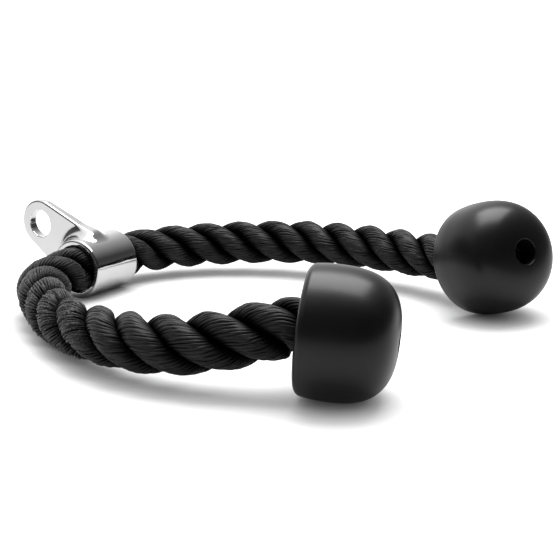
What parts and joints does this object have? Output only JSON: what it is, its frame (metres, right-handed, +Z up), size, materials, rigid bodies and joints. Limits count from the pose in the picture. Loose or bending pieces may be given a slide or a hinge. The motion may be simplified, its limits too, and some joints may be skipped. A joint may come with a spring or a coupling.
{
  "type": "triceps rope attachment",
  "caption": "Cable machine rope handle: laid black rope with a moulded stop ball on each end and a chromed swivelling collar with an eye for a hook.",
  "frame": {"origin": "bottom centre of the box round the end balls, the collar and the eye lug, on the floor that the part lies on", "axes": "+X to the viewer's right, +Y away from the viewer, +Z up"},
  "size_m": [0.3228, 0.2979, 0.0686],
  "materials": {
    "rope_fibre": "matte laid fibre",
    "whipping_twine": "matte twine",
    "ball_rubber": "satin moulded",
    "fastener_steel": "black oxide",
    "collar_chrome": "polished chrome plate"
  },
  "bodies": {
    "rope": {"rope": "rope_fibre", "front_end_ball": "ball_rubber", "back_end_ball": "ball_rubber", "front_whipping": "whipping_twine", "back_whipping": "whipping_twine", "front_washer": "fastener_steel", "back_washer": "fastener_steel", "front_end_screw": "fastener_steel", "back_end_screw": "fastener_steel"},
    "collar": {"collar_tube": "collar_chrome", "eye_lug": "collar_chrome"}
  },
  "joints": [
    {"name": "collar_swivel", "type": "hinge", "parent": "rope", "child": "collar", "pos_m": [-0.1125, 0.1034, 0.0183], "axis": [0.5505, 0.8348, 0], "continuous": true}
  ]
}
